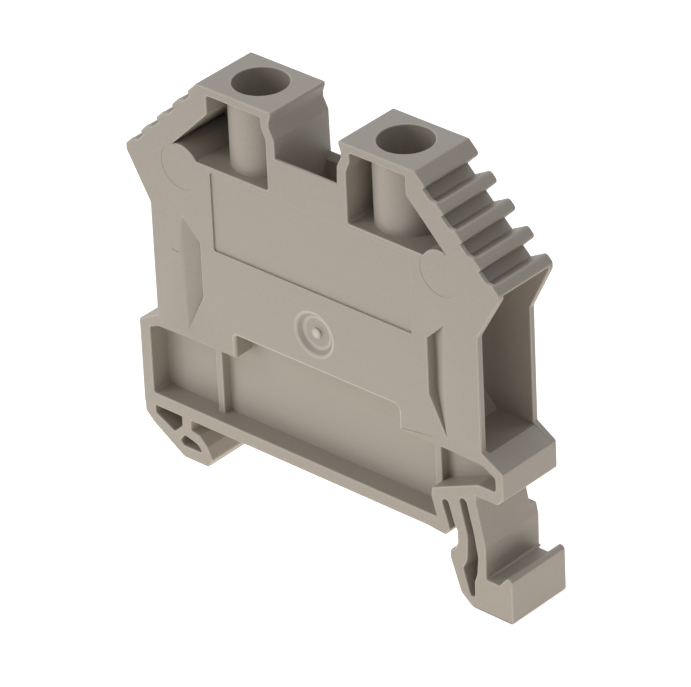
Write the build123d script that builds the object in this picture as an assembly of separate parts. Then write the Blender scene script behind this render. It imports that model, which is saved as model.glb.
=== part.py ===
from build123d import *
from math import sqrt
import os

# Feed-through terminal block with two screw clamps, for a 35 mm top-hat rail.
# X runs from wire to wire, Y from the closed face to the open one, Z up from the rail.
# The origin is on the seat, where the sole rests on the rail. Sizes are in millimetres.

# Thickness and walls
PITCH = 8.2               # what one block takes up along the rail
FRONT_WALL = 0.8
BACK_WALL = 0.7
WEB = 1.0                 # wall between the front and back hollows of the lower half
BREAK_RADIUS = 0.3        # moulded corners that are not measured one by one

# Towers, with a screw well in each
TOWER_TOP = 40.4
TOWER_HALF = 14.2         # from the middle to the towers' outer top corner
TOP_WALL = 0.95
WELL_X = 9.45
WELL_Y = 0.2              # the metal parts sit a little nearer the open face
WELL_DIA = 5.83
WELL_WALL = 0.51
SHELF_Z = 31.4            # top of the shelf that the wells stand on
SHELF_WALL = 0.9
WINDOW_OUTER = 12.95
WINDOW_STEP = 0.55        # the window is this much narrower beside the slot's catch

# Slot between the towers, for a cross-connector
SLOT_HALF = 4.08
SLOT_WALL = 1.15
SLOT_CATCH = 0.6          # undercut that a snapped-in connector holds to
SLOT_LIP = 0.32
SLOT_CATCH_Z = 37.4
SLOT_FRONT_Z = 35.4       # top of the front wall in the slot
SLOT_BACK_Z = 32.6        # top of the back wall in the slot
SLOT_LEAD = 0.55          # both walls are bevelled inside at their top, to lead a connector in

# Finned slopes
FIN_COUNT = 5
FIN_BASE = 1.95
FIN_CREST = 1.3
FIN_HEIGHT = 2.2
FIN_ROUND = 0.45
FIRST_GAP = 1.85          # from the tower's corner down the slope to the first gap
LAST_CREST = 1.07         # from the last gap to the ear's corner
SLOPE_WALL = 0.85
SKIN = 0.5                # the front face closes the gaps with a skin this thick
SKIN_DIP = 0.5            # and its edge dips this much between two fins
EAR_HALF = 24.4           # from the middle to the foot of the slope

# Wire funnels
BODY_HALF = 21.5          # from the middle to the edge of the front wall at the mouths
BACK_EDGE = 0.35          # the back wall reaches out this much further
MOUTH_TOP_Z = 24.4        # foot of the slanted edge above the mouth
EAR_LIP = 0.7
FUNNEL_FLOOR_Z = 11.06
NECK_X = 17.2             # where the funnel starts to narrow
NECK_ROOF_Z = 24.1
THROAT_X = 14.95
THROAT_LOW_Z = 15.6
THROAT_HIGH_Z = 22.0
THROAT_SQUEEZE = 1.2      # each side wall steps in by this much at the throat

# Shallow details of the front face
LABEL_HALF = 13.05
LABEL_LOW_Z = 21.75
LABEL_HIGH_Z = 30.75
LABEL_DEPTH = 0.2
DISC_X = 17.0
DISC_Z = 30.05
DISC_RADIUS = 2.5
DIMPLE_Z = 16.8
DIMPLE_RADIUS = 2.45
DIMPLE_FLOOR_RADIUS = 1.75
DIMPLE_DEPTH = 0.6
GATE_RADIUS = 0.6         # stub left where the moulding was fed
GATE_HEIGHT = 0.3

# Lower half: ledges, sole and the hollow between them
LEDGE_HALF = 24.15
LEDGE_TOP_Z = 11.3
LEDGE_EDGE_Z = 9.8
LEDGE_UNDER_Z = 5.95
LEDGE_CHAMFER = 0.8
SOLE = 1.55
SOLE_PAD = 0.2            # the sole swells downwards by this much at the latch
SOLE_PAD_START = 3.0      # from the sole's right end to where it starts to swell
RAIL_CORNER_X = 17.0      # the sole's right end, beside the latch
SOLE_NOTCH_Z = 3.97       # top of the notch that lets the latch's root bend
HOLLOW_DEPTH = 2.4
LEFT_WALL = 1.45
RIGHT_WALL = 1.0
HOLLOW_TOP_Z = 9.9
HOLLOW_STEP_HALF = 10.85
HOLLOW_STEP_Z = 12.65
HOLLOW_SHELF_Z = 7.4
RIB_X = 14.6
RIB = 0.85
RIB_HEIGHT = 1.0

# Rail hook and latch
HOOK_GRIP_X = 17.75       # bottom of the groove that takes the rail's edge
HOOK_GAP = 1.2
HOOK_LOW_Z = 4.8
HOOK_TOE_X = 15.0         # how far the hook reaches under the rail
LATCH_STOP_X = 17.95      # the latch's stop against the rail's other edge
LATCH_LEG = 1.2
LATCH_SPREAD = 2.65       # from the stop to the inner side of the outer leg
LATCH_LOW_Z = 7.5
LATCH_LIP_X = 24.9
LATCH_LIP = 1.65          # the lip's thickness at its foot
LATCH_LIP_Z = -2.05       # top of the lip that a screwdriver levers on
LATCH_CHANNEL_Z = -3.45   # floor of the channel behind the lip
LATCH_TRIM = 0.9          # the outer leg's top is cut back from the open face
LATCH_TRIM_Z = 1.55
LATCH_FOOT_TRIM = 0.4     # and the foot behind its lip by this much

# Current bar
BAR_THICK = 1.4
BAR_END_Z = 20.8          # underside at the clamps
BAR_RISE = 3.6            # its middle stands higher, under the slot
BAR_FLAT_HALF = 3.1
BAR_BEND_RUN = 1.8
BAR_BEND_RADIUS = 0.9     # at the middle of the bar's thickness
BAR_HALF = 13.6
BAR_WIDTH = 5.6
BAR_END_WIDTH = 4.2
BAR_CLEARANCE = 0.05
LINK_THREAD_RADIUS = 1.65
LINK_RELIEF_RADIUS = 2.2

# Clamp yokes, folded from steel strip
STRIP = 1.0
YOKE_INSIDE = 4.6
YOKE_LENGTH = 7.8
YOKE_BEND_RADIUS = 0.6    # at the middle of the strip's thickness
YOKE_LEG_GAP = 0.1        # below the throat when the clamp is open
YOKE_BAR_GAP = 0.2
FOLD_GAP = 0.05
CHAMBER_HALF_LENGTH = 4.25
CHAMBER_FLOOR_GAP = 0.1

# Clamping screws
THREAD_RADIUS = 2.0
THREAD_CLEARANCE = 0.04
HEAD_RADIUS = 2.75
HEAD_HEIGHT = 2.6
HEAD_Z = 30.2
DRIVER_SLOT = 1.0
DRIVER_SLOT_DEPTH = 1.3
POINT_RADIUS = 1.4
POINT_LENGTH = 0.8
POINT_CLEARANCE = 0.02
SCREW_CHAMFER = 0.25

# Places that follow from the sizes
SLOPE_LENGTH = (EAR_HALF - TOWER_HALF) * sqrt(2)
FIN_PITCH = (SLOPE_LENGTH - FIRST_GAP + FIN_CREST - LAST_CREST) / (FIN_COUNT - 1)
FRONT = -PITCH / 2
BACK = PITCH / 2
INNER_FRONT = FRONT + FRONT_WALL
INNER_BACK = BACK - BACK_WALL
CHAMBER_INNER = WELL_X - CHAMBER_HALF_LENGTH
CHAMBER_OUTER = WELL_X + CHAMBER_HALF_LENGTH
CHAMBER_TOP_Z = SHELF_Z - SHELF_WALL
LEG_TOP_Z = THROAT_LOW_Z - YOKE_LEG_GAP
CHAMBER_FLOOR_Z = LEG_TOP_Z - STRIP - CHAMBER_FLOOR_GAP
BAR_TOP_Z = BAR_END_Z + BAR_THICK
BAR_MIDDLE_Z = BAR_END_Z + BAR_RISE
WINDOW_TOP_Z = TOWER_TOP - TOP_WALL
HOLLOW_LEFT = LEDGE_HALF - LEFT_WALL
HOLLOW_RIGHT = LEDGE_HALF - RIGHT_WALL
WELL_RADIUS = WELL_DIA / 2
PAST = 1.0                # how far a cutter runs past the face that it opens


def outline(*corners):
    """Face in X and Z through the corners. A third number rounds its corner."""
    points = [corner[:2] for corner in corners]
    radii = [corner[2] if len(corner) == 3 else 0 for corner in corners]
    return make_face(FilletPolyline(*points, radius=radii, close=True))


def slab(face, front, back):
    """Solid between two depths, from a face in X and Z."""
    return extrude(Plane.XZ.offset(-back) * face, amount=back - front)


def upright(x, y, low, high, radius):
    """Round solid along Z."""
    return Pos(x, y, low) * Cylinder(radius, high - low, align=(Align.CENTER, Align.CENTER, Align.MIN))


def both(solid):
    """The solid and its mirror image on the other side of the slot."""
    return solid + mirror(solid, Plane.YZ)


def on_slope(along, out):
    """Point so far down the right slope from the tower's corner, and so far out of it."""
    diagonal = 1 / sqrt(2)
    return (TOWER_HALF + (along + out) * diagonal, TOWER_TOP - (along - out) * diagonal)


def shift(point, x=0.0, z=0.0):
    """Point moved in X and Z."""
    return (point[0] + x, point[1] + z)


def body_half(gap_depth, crest_round, edge_x):
    """Right half of the body's outline, with gaps of one depth between the fins."""
    corners = [(0, SOLE), (0, TOWER_TOP), (TOWER_HALF, TOWER_TOP, BREAK_RADIUS)]
    gap_base = FIN_PITCH - FIN_BASE
    gap_top = FIN_PITCH - FIN_CREST
    for gap in range(FIN_COUNT - 1):
        start = FIRST_GAP + gap * FIN_PITCH
        corners.append((*on_slope(start, 0), crest_round))
        corners.append(on_slope(start, -gap_depth))
        corners.append(on_slope(start + gap_base, -gap_depth))
        corners.append((*on_slope(start + gap_top, 0), crest_round))
    ear = (EAR_HALF, TOWER_TOP - (EAR_HALF - TOWER_HALF))
    corners.append((*ear, crest_round))
    corners.append(shift(ear, z=-EAR_LIP))
    corners.append((edge_x, MOUTH_TOP_Z, BREAK_RADIUS))
    corners.append((edge_x, LEDGE_TOP_Z))
    corners.append((LEDGE_HALF, LEDGE_EDGE_Z, BREAK_RADIUS))
    corners.append((LEDGE_HALF, LEDGE_UNDER_Z + LEDGE_CHAMFER, BREAK_RADIUS))
    corners.append((LEDGE_HALF - LEDGE_CHAMFER, LEDGE_UNDER_Z, BREAK_RADIUS))
    corners.append((RIB_X, LEDGE_UNDER_Z))
    corners.append((RIB_X, SOLE))
    return outline(*corners)


def body():
    """Body with its fins: a skin in front, open gaps behind, and a longer back wall."""
    dip = min(FIN_ROUND, SKIN_DIP / 2)
    skin = slab(body_half(SKIN_DIP, dip, BODY_HALF), FRONT, FRONT + SKIN)
    middle = slab(body_half(FIN_HEIGHT, FIN_ROUND, BODY_HALF), FRONT + SKIN, INNER_BACK)
    back = slab(body_half(FIN_HEIGHT, FIN_ROUND, BODY_HALF + BACK_EDGE), INNER_BACK, BACK)
    return both(skin + middle + back)


def sole():
    """Bar that rests on the rail, with the left side wall and the root of the latch."""
    face = outline(
        (-LEDGE_HALF, LEDGE_EDGE_Z),
        (-LEDGE_HALF, 0),
        (RAIL_CORNER_X - SOLE_PAD_START, 0),
        (RAIL_CORNER_X - 1.0, -SOLE_PAD),
        (RAIL_CORNER_X - 0.6, -SOLE_PAD, 0.2),
        (RAIL_CORNER_X, 0.65, 0.1),
        (RAIL_CORNER_X - 1.05, SOLE_NOTCH_Z, 0.4),
        (RAIL_CORNER_X - 0.15, SOLE_NOTCH_Z, 0.4),
        (LATCH_STOP_X - 0.35, SOLE),
        (LATCH_STOP_X + LATCH_LEG, SOLE),
        (LATCH_STOP_X + 2 * LATCH_LEG, LEDGE_UNDER_Z),
        (LATCH_STOP_X + 2 * LATCH_LEG, LEDGE_EDGE_Z),
    )
    return slab(face, FRONT, BACK)


def hook():
    """Fixed hook under the left end, cored by two holes."""
    face = outline(
        (-LEDGE_HALF, SOLE),
        (-LEDGE_HALF + 0.1, -1.1, 0.5),
        (-LEDGE_HALF + 1.25, -2.2, 0.5),
        (-HOOK_GRIP_X - 1.2, -HOOK_LOW_Z, 0.8),
        (-HOOK_TOE_X - 0.6, -HOOK_LOW_Z, 0.5),
        (-HOOK_TOE_X, -HOOK_LOW_Z + 1.05, 0.35),
        (-HOOK_TOE_X - 0.6, -2 * HOOK_GAP, 0.6),
        (-HOOK_TOE_X - 1.6, -HOOK_GAP - 0.2, 0.3),
        (-HOOK_GRIP_X, -HOOK_GAP, 0.15),
        (-HOOK_GRIP_X, 0, 0.15),
        (-HOOK_GRIP_X + 0.6, 0),
        (-HOOK_GRIP_X + 0.6, SOLE),
    )
    upper_hole = outline(
        (-HOLLOW_LEFT + 0.05, 0.85, 0.25),
        (-HOOK_GRIP_X - 1.25, 0.85, 0.5),
        (-HOOK_GRIP_X - 1.25, -1.1, 0.25),
        (-HOOK_GRIP_X - 2.35, -2.15, 0.25),
        (-HOLLOW_LEFT + 0.1, -0.85, 0.2),
    )
    lower_hole = outline(
        (-HOOK_GRIP_X - 0.95, -2.1, 0.25),
        (-HOOK_GRIP_X + 0.8, -2.6, 0.3),
        (-HOOK_GRIP_X + 1.4, -3.38, 0.15),
        (-HOOK_GRIP_X - 1.15, -3.4, 0.25),
        (-HOOK_GRIP_X - 1.6, -2.9, 0.2),
    )
    cores = slab(upper_hole, FRONT - PAST, BACK + PAST) + slab(lower_hole, FRONT - PAST, BACK + PAST)
    return slab(face, FRONT, BACK) - cores


def latch():
    """Sprung latch under the right end: two legs round a slot, a catch and a lip to lever on."""
    outer_x = LATCH_STOP_X + LATCH_SPREAD + LATCH_LEG
    root_x = LATCH_STOP_X + LATCH_SPREAD - 0.1
    lip_foot_x = LATCH_LIP_X - LATCH_LIP
    face = outline(
        (LATCH_STOP_X - 0.35, SOLE),
        (LATCH_STOP_X, 0.9, 0.2),
        (LATCH_STOP_X, -0.5, 0.5),
        (LATCH_STOP_X - 0.4, -1.4, 0.2),
        (LATCH_STOP_X - 1.0, -1.7, 0.25),
        (LATCH_STOP_X - 1.05, -2.6, 0.5),
        (LATCH_STOP_X + 0.25, -6.3, 1.2),
        (LATCH_STOP_X + 1.65, -LATCH_LOW_Z + 0.05, 1.2),
        (LATCH_LIP_X, -LATCH_LOW_Z, 0.35),
        (LATCH_LIP_X, LATCH_LIP_Z - 0.5, 0.25),
        (LATCH_LIP_X - 0.5, LATCH_LIP_Z, 0.4),
        (lip_foot_x, LATCH_CHANNEL_Z, 0.3),
        (outer_x - 0.25, LATCH_CHANNEL_Z, 0.25),
        (outer_x - 0.2, 0.3, 2.5),
        (root_x, LEDGE_UNDER_Z - 0.7, 0.4),
        (root_x, LEDGE_UNDER_Z),
        (LATCH_STOP_X, LEDGE_UNDER_Z),
    )
    leg_trim = outline(
        (LATCH_STOP_X + 1.35, LATCH_TRIM_Z),
        (LEDGE_HALF, LATCH_TRIM_Z),
        (LEDGE_HALF, LEDGE_UNDER_Z),
        (root_x, LEDGE_UNDER_Z),
        (LATCH_STOP_X + LATCH_LEG, 4.6),
    )
    foot_trim = outline(
        (HOOK_TOE_X, LATCH_CHANNEL_Z),
        (lip_foot_x, LATCH_CHANNEL_Z),
        (lip_foot_x, -LATCH_LOW_Z - PAST),
        (HOOK_TOE_X, -LATCH_LOW_Z - PAST),
    )
    trims = slab(leg_trim, BACK - LATCH_TRIM, BACK + PAST)
    trims += slab(foot_trim, BACK - LATCH_FOOT_TRIM, BACK + PAST)
    return slab(face, FRONT, BACK) - trims


def latch_slot():
    """Slot between the latch's two legs, up into its root."""
    face = outline(
        (LATCH_STOP_X + 0.32, 4.95, 0.42),
        (LATCH_STOP_X + 1.27, 4.95, 0.42),
        (LATCH_STOP_X + 2.2, 1.2, 2.5),
        (LATCH_STOP_X + 2.6, -1.3, 2.5),
        (LATCH_STOP_X + 2.4, -3.3, 0.8),
        (LATCH_STOP_X + 2.05, -4.3, 0.5),
        (LATCH_STOP_X + 2.0, -6.2, 0.25),
        (LATCH_STOP_X + 1.45, -6.15, 0.25),
        (LATCH_STOP_X + 0.6, -3.25, 0.5),
        (LATCH_STOP_X + 1.2, -2.1, 1.5),
        (LATCH_STOP_X + 1.35, 0.7, 2.5),
    )
    return slab(face, FRONT - PAST, BACK + PAST)


def hollow_face():
    """Outline of the hollow between the body and the sole."""
    return outline(
        (-HOLLOW_LEFT, SOLE, BREAK_RADIUS),
        (-HOLLOW_LEFT, HOLLOW_TOP_Z - 0.6),
        (-BODY_HALF, HOLLOW_TOP_Z),
        (-HOLLOW_STEP_HALF, HOLLOW_TOP_Z, BREAK_RADIUS),
        (-HOLLOW_STEP_HALF, HOLLOW_STEP_Z, BREAK_RADIUS),
        (HOLLOW_STEP_HALF, HOLLOW_STEP_Z, 2 * BREAK_RADIUS),
        (HOLLOW_STEP_HALF, HOLLOW_TOP_Z, BREAK_RADIUS),
        (BODY_HALF, HOLLOW_TOP_Z),
        (HOLLOW_RIGHT, HOLLOW_TOP_Z - 1.0, BREAK_RADIUS),
        (HOLLOW_RIGHT, HOLLOW_SHELF_Z, BREAK_RADIUS),
        (HOLLOW_RIGHT - 2.25, HOLLOW_SHELF_Z, 1.0),
        (RIB_X + 0.2, 4.75, 0.4),
        (RIB_X + 0.1, 3.7, 0.4),
        (RIB_X + 0.7, SOLE),
    )


def hollows():
    """What the hollow takes away: a front pocket and a back one, with a web between them."""
    face = hollow_face()
    floor = FRONT + HOLLOW_DEPTH
    return slab(face, FRONT - PAST, floor) + slab(face, floor + WEB, BACK + PAST)


def rib(x, front, back):
    """Low rib from the hollow's top to the sole."""
    face = outline(
        (x - RIB / 2, SOLE - BREAK_RADIUS),
        (x + RIB / 2, SOLE - BREAK_RADIUS),
        (x + RIB / 2, HOLLOW_TOP_Z + BREAK_RADIUS),
        (x - RIB / 2, HOLLOW_TOP_Z + BREAK_RADIUS),
    )
    return slab(face, front, back)


def ribs():
    """A rib under each clamp, on both sides of the web."""
    floor = FRONT + HOLLOW_DEPTH
    pair = rib(RIB_X, floor - RIB_HEIGHT, floor + WEB + RIB_HEIGHT)
    return both(pair)


def slot_face(low):
    """The slot's section from one height up, with the catches that hold a connector."""
    half = [
        (SLOT_HALF, low),
        (SLOT_HALF, SLOT_CATCH_Z),
        (SLOT_HALF + SLOT_CATCH, SLOT_CATCH_Z + 1.2),
        (SLOT_HALF + SLOT_CATCH, SLOT_CATCH_Z + 1.8),
        (SLOT_HALF + SLOT_LIP, TOWER_TOP - 0.4),
        (SLOT_HALF + SLOT_LIP + 0.1, TOWER_TOP + PAST),
    ]
    mirrored = [(-x, z) for x, z in reversed(half)]
    return outline(*half, *mirrored)


def connector_slot():
    """What the slot takes away: down to the bar inside, and less far in each wall."""
    inside = slab(slot_face(BAR_MIDDLE_Z), INNER_FRONT, INNER_BACK)
    front = slab(slot_face(SLOT_FRONT_Z), FRONT - PAST, INNER_FRONT)
    back = slab(slot_face(SLOT_BACK_Z), INNER_BACK, BACK + PAST)
    leads = slot_lead(INNER_FRONT, -1, SLOT_FRONT_Z) + slot_lead(INNER_BACK, 1, SLOT_BACK_Z)
    return inside + front + back + leads


def slot_lead(inner_y, outwards, top_z):
    """Bevel along the inner top edge of one of the slot's walls."""
    section = make_face(Polyline(
        (inner_y - PAST * outwards, top_z - SLOT_LEAD),
        (inner_y, top_z - SLOT_LEAD),
        (inner_y + SLOT_LEAD * outwards, top_z),
        (inner_y - PAST * outwards, top_z),
        close=True,
    ))
    start = Plane(origin=(-SLOT_HALF, 0, 0), x_dir=(0, 1, 0), z_dir=(1, 0, 0))
    return extrude(start * section, amount=2 * SLOT_HALF)


def window():
    """Window in the right tower, closed at the back, with the round boss cut out of its corner."""
    inner = SLOT_HALF + SLOT_WALL
    slope = on_slope(0, -FIN_HEIGHT - SLOPE_WALL)
    slope_sum = slope[0] + slope[1]
    face = outline(
        (inner, SHELF_Z, BREAK_RADIUS),
        (slope_sum - SHELF_Z, SHELF_Z),
        (WINDOW_OUTER, slope_sum - WINDOW_OUTER, BREAK_RADIUS),
        (WINDOW_OUTER, WINDOW_TOP_Z, BREAK_RADIUS),
        (inner + WINDOW_STEP, WINDOW_TOP_Z, BREAK_RADIUS),
        (inner + WINDOW_STEP, SLOT_CATCH_Z + 1.0),
        (inner, SLOT_CATCH_Z - 0.3),
    )
    boss = Pos(DISC_X, DISC_Z) * Circle(DISC_RADIUS)
    return slab(face - boss, FRONT - PAST, INNER_BACK)


def well_tube():
    """Round well that leads a screwdriver down to the right screw."""
    return upright(WELL_X, WELL_Y, SHELF_Z - SHELF_WALL / 2, TOWER_TOP, WELL_RADIUS + WELL_WALL)


def well_bore():
    """Hole down the well and through the shelf."""
    return upright(WELL_X, WELL_Y, CHAMBER_TOP_Z - PAST, TOWER_TOP + PAST, WELL_RADIUS)


def chamber():
    """Space that the right yoke rises in. It is open at the back, where the metal goes in."""
    face = outline(
        (CHAMBER_INNER, CHAMBER_FLOOR_Z, BREAK_RADIUS),
        (CHAMBER_OUTER, CHAMBER_FLOOR_Z, BREAK_RADIUS),
        (CHAMBER_OUTER, CHAMBER_TOP_Z, BREAK_RADIUS),
        (CHAMBER_INNER, CHAMBER_TOP_Z, BREAK_RADIUS),
    )
    return slab(face, INNER_FRONT, BACK + PAST)


def side_section(x, front, back, low, high):
    """Upright rectangle across the block at one X."""
    centre = Vector(x, (front + back) / 2, (low + high) / 2)
    plane = Plane(origin=centre, x_dir=(0, 1, 0), z_dir=(1, 0, 0))
    return plane * Rectangle(back - front, high - low)


def funnel():
    """Right wire funnel: a wide mouth, a tapered neck and the throat into the chamber."""
    mouth = outline(
        (NECK_X, FUNNEL_FLOOR_Z),
        (LEDGE_HALF + PAST, FUNNEL_FLOOR_Z),
        (LEDGE_HALF + PAST, ear_under(LEDGE_HALF + PAST)),
        (EAR_HALF, ear_under(EAR_HALF)),
        (BODY_HALF - 0.5, ear_under(EAR_HALF) - 1.3, BREAK_RADIUS),
        (NECK_X, NECK_ROOF_Z),
    )
    wide = side_section(NECK_X, INNER_FRONT, INNER_BACK, FUNNEL_FLOOR_Z, NECK_ROOF_Z)
    throat_front = INNER_FRONT + THROAT_SQUEEZE
    throat_back = INNER_BACK - THROAT_SQUEEZE
    narrow = side_section(THROAT_X, throat_front, throat_back, THROAT_LOW_Z, THROAT_HIGH_Z)
    inner_end = side_section(CHAMBER_OUTER - PAST, throat_front, throat_back, THROAT_LOW_Z, THROAT_HIGH_Z)
    neck = loft([inner_end.face(), narrow.face()]) + loft([narrow.face(), wide.face()])
    return slab(mouth, INNER_FRONT, INNER_BACK) + neck


def ear_under(x):
    """Height of the ear's underside: it slopes gently up and out."""
    ear_z = TOWER_TOP - (EAR_HALF - TOWER_HALF)
    return ear_z - EAR_LIP / 2 + (x - EAR_HALF) * 0.35


def neck_pocket(face_y, wall_y):
    """Tapered pocket outside the funnel's neck, from one of the two faces inwards."""
    span = NECK_X - THROAT_X
    face = outline(
        (NECK_X, THROAT_HIGH_Z + span),
        (THROAT_X, THROAT_HIGH_Z),
        (THROAT_X, THROAT_LOW_Z),
        (NECK_X, THROAT_LOW_Z - 2 * span),
    )
    inwards = 1 if wall_y > face_y else -1
    block = slab(face, min(face_y - PAST * inwards, wall_y), max(face_y - PAST * inwards, wall_y))
    wedge_face = make_face(Polyline(
        (NECK_X, face_y),
        (THROAT_X, wall_y),
        (THROAT_X - PAST, wall_y),
        (THROAT_X - PAST, face_y - 2 * PAST * inwards),
        (NECK_X, face_y - 2 * PAST * inwards),
        close=True,
    ))
    return block & extrude(wedge_face, amount=TOWER_TOP)


def roof_core():
    """Hollow above the right funnel, open at the back, that keeps the walls even."""
    wall = BACK_WALL + 0.2
    rise = (ear_under(EAR_HALF) - 1.3 - NECK_ROOF_Z) / (BODY_HALF - 0.5 - NECK_X)
    low_x = CHAMBER_OUTER + wall
    high_z = CHAMBER_TOP_Z - wall
    roof_z = NECK_ROOF_Z + wall * sqrt(1 + rise ** 2)
    slope = on_slope(0, -FIN_HEIGHT - SLOPE_WALL)
    high_x = min(slope[0] + slope[1] - high_z, NECK_X + (high_z - roof_z) / rise)
    face = outline(
        (low_x, THROAT_HIGH_Z + wall),
        (NECK_X, roof_z),
        (high_x, high_z, BREAK_RADIUS),
        (low_x, high_z, BREAK_RADIUS),
    )
    return slab(face, INNER_FRONT + THROAT_SQUEEZE, BACK + PAST)


def middle_core():
    """Hollow under the bar's middle, open at the back."""
    low = HOLLOW_STEP_Z + WEB
    high = BAR_END_Z + BAR_CLEARANCE
    face = outline(
        (-SLOT_HALF, low, BREAK_RADIUS),
        (SLOT_HALF, low, BREAK_RADIUS),
        (SLOT_HALF, high - 2.0),
        (BAR_FLAT_HALF - 0.5, high, BREAK_RADIUS),
        (-BAR_FLAT_HALF + 0.5, high, BREAK_RADIUS),
        (-SLOT_HALF, high - 2.0),
    )
    return slab(face, INNER_FRONT, BACK + PAST)


def strip_face(points, bend_radius, thickness):
    """Section of a bent strip, from its middle line and the radius of its bends there."""
    line = [Vector(*point) for point in points]
    runs = [(after - before).normalized() for before, after in zip(line, line[1:])]
    sides = []
    for side in (1, -1):
        edge = []
        for index, point in enumerate(line):
            before = runs[max(index - 1, 0)]
            after = runs[min(index, len(runs) - 1)]
            normal = Vector(-before.Y - after.Y, before.X + after.X).normalized()
            mitre = normal.dot(Vector(-after.Y, after.X))
            turn = before.X * after.Y - before.Y * after.X
            place = point + normal * (side * thickness / 2 / mitre)
            bend = bend_radius - (side * thickness / 2 if turn > 0 else -side * thickness / 2)
            edge.append((place.X, place.Y, bend if abs(turn) > 1e-6 else 0))
        sides.append(edge)
    return outline(*sides[0], *reversed(sides[1]))


def bar_line():
    """Middle line of the bar: level ends, two bends each side and a raised middle."""
    end_z = BAR_END_Z + BAR_THICK / 2
    middle_z = BAR_MIDDLE_Z + BAR_THICK / 2
    foot_x = BAR_FLAT_HALF + BAR_BEND_RUN
    return [
        (-BAR_HALF, end_z),
        (-foot_x, end_z),
        (-BAR_FLAT_HALF, middle_z),
        (BAR_FLAT_HALF, middle_z),
        (foot_x, end_z),
        (BAR_HALF, end_z),
    ]


def bar_channel():
    """Way for the bar through the walls, open at the back so that it slides in."""
    face = strip_face(bar_line(), BAR_BEND_RADIUS, BAR_THICK + 2 * BAR_CLEARANCE)
    front = WELL_Y - BAR_WIDTH / 2 - BAR_CLEARANCE
    relief = upright(0, WELL_Y, BAR_END_Z - PAST, BAR_MIDDLE_Z + PAST, LINK_RELIEF_RADIUS)
    return slab(face, front, BACK + PAST) + relief


def face_details():
    """Shallow recesses of the front face: the marking field, the discs and the gate dimple."""
    label = outline(
        (-LABEL_HALF, LABEL_LOW_Z, BREAK_RADIUS),
        (LABEL_HALF, LABEL_LOW_Z, BREAK_RADIUS),
        (LABEL_HALF, LABEL_HIGH_Z, BREAK_RADIUS),
        (-LABEL_HALF, LABEL_HIGH_Z, BREAK_RADIUS),
    )
    floor = FRONT + DIMPLE_DEPTH
    rim = Plane.XZ.offset(-FRONT) * Pos(0, DIMPLE_Z) * Circle(DIMPLE_RADIUS)
    bottom = Plane.XZ.offset(-floor) * Pos(0, DIMPLE_Z) * Circle(DIMPLE_FLOOR_RADIUS)
    stub = slab(Pos(0, DIMPLE_Z) * Circle(GATE_RADIUS), floor - GATE_HEIGHT, floor)
    dish = loft([rim.face(), bottom.face()]) - stub
    return slab(label, FRONT - PAST, FRONT + LABEL_DEPTH) + dish


def housing():
    """The moulded housing, in one piece with its hook and its latch."""
    cuts = both(chamber() + funnel() + window() + roof_core())
    cuts += both(neck_pocket(FRONT, FRONT + THROAT_SQUEEZE) + neck_pocket(BACK, BACK - THROAT_SQUEEZE))
    cuts += latch_slot()
    cuts += connector_slot() + middle_core() + bar_channel() + hollows() + face_details()
    shell = body() + sole() + hook() + latch() - cuts
    shell += both(well_tube()) + ribs()
    return shell - both(well_bore())


def current_bar():
    """Bent copper bar with narrower ends and a threaded hole under the slot."""
    section = strip_face(bar_line(), BAR_BEND_RADIUS, BAR_THICK)
    strip = slab(section, WELL_Y - BAR_WIDTH / 2, WELL_Y + BAR_WIDTH / 2)
    spare = (BAR_WIDTH - BAR_END_WIDTH) / 2
    end = outline(
        (CHAMBER_INNER, BAR_END_Z - PAST),
        (BAR_HALF + PAST, BAR_END_Z - PAST),
        (BAR_HALF + PAST, BAR_TOP_Z + PAST),
        (CHAMBER_INNER, BAR_TOP_Z + PAST),
    )
    near = slab(end, WELL_Y - BAR_WIDTH, WELL_Y - BAR_WIDTH / 2 + spare)
    far = slab(end, WELL_Y + BAR_WIDTH / 2 - spare, WELL_Y + BAR_WIDTH)
    hole = upright(0, WELL_Y, BAR_MIDDLE_Z - PAST, BAR_MIDDLE_Z + BAR_THICK + PAST, LINK_THREAD_RADIUS)
    return strip - both(near + far) - hole


def yoke(x):
    """Clamp cage folded from one strip: a leg, two sides and a tapped top of two layers."""
    side = (YOKE_INSIDE + STRIP) / 2
    inner_z = BAR_TOP_Z + YOKE_BAR_GAP + STRIP / 2
    outer_z = inner_z + STRIP + FOLD_GAP
    leg_z = LEG_TOP_Z - STRIP / 2
    line = [
        (side - STRIP / 2 - FOLD_GAP, inner_z),
        (-side, inner_z),
        (-side, leg_z),
        (side, leg_z),
        (side, outer_z),
        (-side - STRIP / 2, outer_z),
    ]
    start = Plane(origin=(x - YOKE_LENGTH / 2, WELL_Y, 0), x_dir=(0, 1, 0), z_dir=(1, 0, 0))
    cage = extrude(start * strip_face(line, YOKE_BEND_RADIUS, STRIP), amount=YOKE_LENGTH)
    bore = upright(x, WELL_Y, inner_z - STRIP, outer_z + STRIP, THREAD_RADIUS + THREAD_CLEARANCE)
    return cage - bore


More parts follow.
